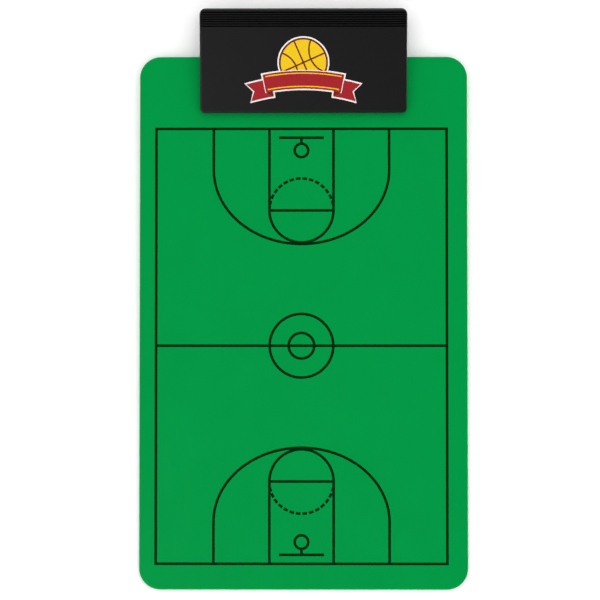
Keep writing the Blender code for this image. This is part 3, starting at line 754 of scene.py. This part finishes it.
badge = [
    ("white", printed_together(
        ink_area("badge_outline_white", disc(BALL_RADIUS + OUTLINE), coat(0)),
        ink_area("outline_panel", panel(OUTLINE), coat(0)),
        ink_area("outline_left_tail", tail(-1, OUTLINE), coat(0)),
        ink_area("outline_right_tail", tail(1, OUTLINE), coat(0)),
    )),
    ("gold", ink_area("badge_ball_gold", disc(BALL_RADIUS), coat(1))),
    ("maroon", printed_together(
        ink_lines("badge_seams_maroon", seam_strokes, SEAM, coat(2)),
        ink_lines("ball_rim", [(disc(BALL_RADIUS - BALL_RIM / 2), True)], BALL_RIM, coat(2)),
    )),
    ("red", printed_together(
        ink_area("badge_tails_red", tail(-1), coat(3)), ink_area("right_tail", tail(1), coat(3)),
    )),
    ("white", ink_area("badge_panel_outline_white", panel(OUTLINE / 2), coat(4))),
    ("maroon", printed_together(
        ink_area("badge_folds_maroon", fold(-1), coat(5)), ink_area("right_fold", fold(1), coat(5)),
    )),
    ("red", ink_area("badge_panel_red", panel(), coat(6))),
    ("gold", ink_lines("badge_pinstripes_gold", stripes, PINSTRIPE, coat(7))),
]
for ink, piece in badge:
    piece.data.transform(onto_jaw)
    dress(piece, pad_inks[ink])
    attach(piece, "front_jaw")
    print(f"{piece.name}: {len(piece.data.polygons)} faces, {open_edges(piece)} open edges")

# %% [markdown]
# Springs in round wire
#
# Two torsion springs sit on the pin, one the mirror of the other. Each is a single length of wire:
# a straight leg along the back jaw, nearly six and a half turns round the pin, and a straight leg
# along the front jaw. The solid model winds them in a coarse eight-sided wire. Here the same path
# is walked in finer steps and given a rounder section, and takes the solid's place.

# %% Wind the springs
WIRE_RADIUS = 0.75 * MM
COIL_RADIUS, COIL_PITCH = 3.7 * MM, 2 * MM
WHOLE_TURNS = 6
LEG_LENGTH = 22 * MM
LEG_STARTS_AT = 50.15 * MM
LEG_TO_WALL = 5.95 * MM  # from the hinge axis to the wire's middle, where a leg touches its jaw
STEPS_PER_TURN, LEG_STEPS = 32, 6
WIRE_SIDES_EXTRA = 4  # a curve's bevel has four sides and two more for each of these

leg_slope = math.atan((LEG_TO_WALL - COIL_RADIUS) / LEG_LENGTH)
winding = WHOLE_TURNS * math.tau + math.pi - jaw_tilt - 2 * leg_slope


def spring_path(hand):
    """Points from the tip on the back jaw, round the pin, to the tip on the front jaw."""
    start, steps = -math.pi / 2 - leg_slope, round(STEPS_PER_TURN * winding / math.tau)
    coil = []
    for step in range(steps + 1):
        turned = winding * step / steps
        x = LEG_STARTS_AT + COIL_PITCH * turned / math.tau
        angle = start - turned
        coil.append(Vector((x, COIL_RADIUS * math.cos(angle), COIL_RADIUS * math.sin(angle))))
    back_way = Vector((0, math.cos(leg_slope), -math.sin(leg_slope)))
    front_way = Vector((0, math.cos(jaw_tilt + leg_slope), math.sin(jaw_tilt + leg_slope)))
    runs = [LEG_LENGTH * step / LEG_STEPS for step in range(1, LEG_STEPS + 1)]
    back_leg = [coil[0] + back_way * run for run in reversed(runs)]
    front_leg = [coil[-1] + front_way * run for run in runs]
    return [Vector((hand * p.x, p.y, p.z)) + hinge for p in back_leg + coil + front_leg]


def wound_spring(name, hand):
    curve = bpy.data.curves.new(name, "CURVE")
    curve.dimensions = "3D"
    curve.bevel_depth = WIRE_RADIUS
    curve.bevel_resolution = WIRE_SIDES_EXTRA
    curve.use_fill_caps = True
    path = spring_path(hand)
    wire = curve.splines.new("POLY")
    wire.points.add(len(path) - 1)
    for point, place in zip(wire.points, path):
        point.co = (*place, 1)
    drawn = bpy.data.objects.new(name, curve)
    bpy.context.scene.collection.objects.link(drawn)
    spring = settled(drawn)
    spring.data.shade_smooth()
    spring.data.set_sharp_from_angle(angle=SHARP_EDGE)
    return spring


springs = {
    name: (hand, wound_spring(name + "_round_wire", hand))
    for name, hand in (("spring_left", -1), ("spring_right", 1))
}
print(f"springs: {winding / math.tau:.2f} turns of {2 * WIRE_RADIUS / MM:.1f} mm wire each")

# %% [markdown]
# The wire: hard-drawn spring steel
#
# Drawing the wire through a die leaves fine lines along it, and coiling and stress relief turn it a
# darker grey than plated hardware. Along both the coil and the legs the wire runs square to X, so a
# noise that changes fast along X and slowly across it draws lines that follow the wire. Real draw
# lines are finer than 0.1 mm: these are 0.25 mm apart.

# %% Finish the wire and fit the springs
WIRE_GREY = "#6C7075"
DRAW_LINE, DRAW_LENGTH, DRAW_DEPTH = 0.25 * MM, 14 * MM, 0.003 * MM
WIRE_OILED, WIRE_DRY = 0.26, 0.4


def drawn_spring_steel():
    material, tree, place = blank_material("spring_steel_hard_drawn")
    along_wire = add(tree, "ShaderNodeMapping", {
        "Vector": place, "Scale": (1 / DRAW_LINE, 1 / DRAW_LENGTH, 1 / DRAW_LENGTH),
    })
    lines = add(tree, "ShaderNodeTexNoise", {
        "Vector": along_wire.outputs["Vector"], "Scale": 1.0, "Detail": 3.0,
    })
    oil = add(tree, "ShaderNodeMapRange", {
        "Value": lines.outputs["Fac"], **NOISE_SPAN, "To Min": WIRE_OILED, "To Max": WIRE_DRY,
    })
    scored = add(tree, "ShaderNodeBump", {
        "Height": lines.outputs["Fac"], "Distance": DRAW_DEPTH,
    })
    shader = add(tree, "ShaderNodeBsdfPrincipled", {
        "Base Color": colour(WIRE_GREY), "Metallic": 1.0, "Roughness": oil.outputs["Result"],
        "Normal": scored.outputs["Normal"],
    })
    add(tree, "ShaderNodeOutputMaterial", {"Surface": shader.outputs["BSDF"]})
    return material


spring_steel = drawn_spring_steel()
for name, (hand, spring) in springs.items():
    dress(spring, spring_steel)
    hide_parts(name)
    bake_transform(spring)
    solid_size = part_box(name)[1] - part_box(name)[0]
    pairs = zip(spring.dimensions, solid_size)
    sizes = " x ".join(f"{wound / MM:.1f} ({solid / MM:.1f})" for wound, solid in pairs)
    print(f"{name}: {sizes} mm, the solid's size in brackets, {open_edges(spring)} open edges")

# %% [markdown]
# The table
#
# The clipboard lies on a white sweep. It rests on the flat back of its clip and on the edge of the
# board's foot, so the sheet under it slopes by half a degree. To the camera the sheet is a tenth
# brighter than white, which keeps the clip's soft shadow and loses the faintest ones, as a
# catalogue picture does. To everything else it is ordinary white card. From below it is clear, so
# that the clipboard's back can be seen.

# %% Lay the sweep under the clipboard
SWEEP_SIZE = 12.0
SWEEP_FOR_CAMERA, SWEEP_FOR_LIGHT = 1.1, 0.8
CARD_FIBRE, CARD_TOOTH = 2 * MM, 0.01 * MM
back_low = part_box("back_jaw")[0]
slope = math.atan2(board_low.z - back_low.z, back_low.y - board_low.y)


def white_card():
    material, tree, place = blank_material("white_card_matt")
    path = add(tree, "ShaderNodeLightPath")
    seen = add(tree, "ShaderNodeMath", {
        0: path.outputs["Is Camera Ray"], 1: path.outputs["Is Glossy Ray"],
    }, operation="ADD")
    seen_or_through = add(tree, "ShaderNodeMath", {
        0: seen.outputs[0], 1: path.outputs["Is Transmission Ray"],
    }, operation="ADD", use_clamp=True)
    fibres = add(tree, "ShaderNodeTexNoise", {
        "Vector": place, "Scale": 1 / CARD_FIBRE, "Detail": 3.0,
    })
    tooth = add(tree, "ShaderNodeBump", {
        "Height": fibres.outputs["Fac"], "Distance": CARD_TOOTH,
    })
    plain = add(tree, "ShaderNodeBsdfDiffuse", {
        "Color": (SWEEP_FOR_LIGHT,) * 3 + (1.0,), "Normal": tooth.outputs["Normal"],
    })
    bright = add(tree, "ShaderNodeBsdfDiffuse", {
        "Color": (SWEEP_FOR_CAMERA,) * 3 + (1.0,), "Normal": tooth.outputs["Normal"],
    })
    card = add(tree, "ShaderNodeMixShader", {
        0: seen_or_through.outputs[0], 1: plain.outputs["BSDF"], 2: bright.outputs["BSDF"],
    })
    clear = add(tree, "ShaderNodeBsdfTransparent")
    underside = add(tree, "ShaderNodeNewGeometry").outputs["Backfacing"]
    sheet = add(tree, "ShaderNodeMixShader", {
        0: underside, 1: card.outputs[0], 2: clear.outputs[0],
    })
    add(tree, "ShaderNodeOutputMaterial", {"Surface": sheet.outputs[0]})
    return material


sweep_mesh = bpy.data.meshes.new("white_sweep")
shape = bmesh.new()
bmesh.ops.create_grid(shape, x_segments=1, y_segments=1, size=SWEEP_SIZE / 2)
shape.to_mesh(sweep_mesh)
shape.free()
floor = bpy.data.objects.new("white_sweep", sweep_mesh)
floor.location = (0, back_low.y, back_low.z)
floor.rotation_euler = (-slope, 0, 0)
bpy.context.scene.collection.objects.link(floor)
dress(floor, white_card())
floor.visible_diffuse = False
floor.visible_shadow = False
floor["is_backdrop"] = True
print(f"the sheet slopes {math.degrees(slope):.2f} degrees")

# %% [markdown]
# The room
#
# The picture was lit from all round, with the camera looking down out of a dark ceiling. So nothing
# bright mirrors in the board or the clip, and black stays black. The room here is the same: walls
# that get paler from the near one to the far one, and a dark ceiling. It could be built from real
# walls, but the world can give each direction its own light, and then nothing stands in the way.

# %% Build the room
WHITE = colour("#FFFFFF")
FAR_WALL_LIGHT, SIDE_WALL_LIGHT, NEAR_WALL_LIGHT = 0.8, 0.35, 0.2
CEILING_LIGHT, UNDER_LIGHT = 0.02, 0.8
END_WALL_STARTS, END_WALL_FULL = math.sin(math.radians(10)), math.sin(math.radians(40))
WALL_ENDS, CEILING_STARTS = math.sin(math.radians(36)), math.sin(math.radians(60))


def pale_room():
    world = bpy.data.worlds.new("pale_room")
    world.use_nodes = True
    tree = world.node_tree
    tree.nodes.clear()
    way = add(tree, "ShaderNodeTexCoord").outputs["Generated"]
    direction = add(tree, "ShaderNodeSeparateXYZ", {"Vector": way})
    height = direction.outputs["Z"]
    near_wall = add(tree, "ShaderNodeMapRange", {
        "Value": direction.outputs["Y"], "From Min": -END_WALL_FULL, "From Max": -END_WALL_STARTS,
        "To Min": NEAR_WALL_LIGHT, "To Max": SIDE_WALL_LIGHT,
    })
    wall = add(tree, "ShaderNodeMapRange", {
        "Value": direction.outputs["Y"], "From Min": END_WALL_STARTS, "From Max": END_WALL_FULL,
        "To Min": near_wall.outputs["Result"], "To Max": FAR_WALL_LIGHT,
    })
    above = add(tree, "ShaderNodeMapRange", {
        "Value": height, "From Min": WALL_ENDS, "From Max": CEILING_STARTS,
        "To Min": wall.outputs["Result"], "To Max": CEILING_LIGHT,
    }, interpolation_type="SMOOTHSTEP")
    is_below = add(tree, "ShaderNodeMath", {0: height, 1: 0.0}, operation="LESS_THAN")
    level = add(tree, "ShaderNodeMix", {
        "Factor": is_below.outputs[0], "A": above.outputs["Result"], "B": UNDER_LIGHT,
    }, data_type="FLOAT")
    room = add(tree, "ShaderNodeBackground", {"Color": WHITE, "Strength": level.outputs["Result"]})
    backdrop = add(tree, "ShaderNodeBackground", {"Color": WHITE, "Strength": 1.0})
    rays = add(tree, "ShaderNodeLightPath").outputs
    mirrored = add(tree, "ShaderNodeMath", {
        0: rays["Is Glossy Ray"], 1: rays["Is Transmission Ray"],
    }, operation="ADD")
    seen = add(tree, "ShaderNodeMath", {
        0: mirrored.outputs[0], 1: is_below.outputs[0], 2: rays["Is Camera Ray"],
    }, operation="MULTIPLY_ADD", use_clamp=True)
    both = add(tree, "ShaderNodeMixShader", {
        0: seen.outputs[0], 1: room.outputs[0], 2: backdrop.outputs[0],
    })
    add(tree, "ShaderNodeOutputWorld", {"Surface": both.outputs[0]})
    return world


bpy.context.scene.world = pale_room()
bpy.context.scene.view_settings.view_transform = "Standard"
print("world:", bpy.context.scene.world.name)

# %% [markdown]
# The lamps
#
# A very broad lamp overhead only lights matt colour. It leans to the near end and a little to the
# right, so the clip's soft shadow is deepest beyond the clip and on its left.
#
# A smaller lamp on the left does the opposite: it lights nothing, but its mirror image puts a soft
# sheen on the clip. It stands halfway round to the near end, where neither the clip's side nor its
# lip mirrors it sharply.

# %% Hang the lamps
OVERHEAD_LIGHT, OVERHEAD_SPREAD = 2.5, math.radians(115)
OVERHEAD_LEAN, OVERHEAD_TURN = math.radians(9.5), math.radians(105)
SHEEN_LIGHT, SHEEN_SPREAD = 0.66, math.radians(24)
SHEEN_LEAN, SHEEN_TURN = math.radians(36), math.radians(45)


def lamp(name, strength, spread, lean, turn, mirrored):
    """A broad lamp that either only lights matt colour, or only shows as a sheen.

    It leans from overhead to the left, and then turns by so much towards the near end.
    """
    light = bpy.data.lights.new(name, "SUN")
    light.energy = strength
    light.angle = spread
    light.cycles.use_multiple_importance_sampling = mirrored
    item = bpy.data.objects.new(name, light)
    item.rotation_euler = (0, -lean, turn)
    item.visible_diffuse = not mirrored
    item.visible_glossy = mirrored
    bpy.context.scene.collection.objects.link(item)
    print(f"{name}: {math.degrees(spread):.0f} degrees wide")


lamp("overhead_lamp", OVERHEAD_LIGHT, OVERHEAD_SPREAD, OVERHEAD_LEAN, OVERHEAD_TURN, mirrored=False)
lamp("sheen_lamp", SHEEN_LIGHT, SHEEN_SPREAD, SHEEN_LEAN, SHEEN_TURN, mirrored=True)

# %% [markdown]
# The camera
#
# The picture was taken from straight above with a long lens, about 1.2 m away, a little below the
# board's middle. These values were found by matching the board's edges and the clip's corners.

# %% Set up the camera
CAMERA_PLACE = (3.8 * MM, -26.4 * MM, 1200 * MM)
CAMERA_TURN = [math.radians(angle) for angle in (1.251, 0.306, -0.002)]
LENS_MM, SENSOR_MM = 96.9, 36.0

camera_data = bpy.data.cameras.new("overhead_camera")
camera_data.lens = LENS_MM
camera_data.sensor_width = SENSOR_MM
camera_data.sensor_fit = "HORIZONTAL"
camera = bpy.data.objects.new("overhead_camera", camera_data)
camera.location = CAMERA_PLACE
camera.rotation_euler = CAMERA_TURN
bpy.context.scene.collection.objects.link(camera)
bpy.context.scene.camera = camera
print(f"lens {LENS_MM} mm, {CAMERA_PLACE[2]:.2f} m above the table")

# %% [markdown]
# The size
#
# Dressing must not make the clipboard bigger. The sizes of the box of the solid pieces and of the box
# of the dressed ones are printed one after the other, so that the two can be compared.

# %% Print both boxes
low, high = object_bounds()
boxes = [[list(cad_low), list(cad_high)], [list(low), list(high)]]
print("solid pieces:", [round((b - a) / MM, 2) for a, b in zip(*boxes[0])], "mm")
print("dressed:", [round((b - a) / MM, 2) for a, b in zip(*boxes[1])], "mm")
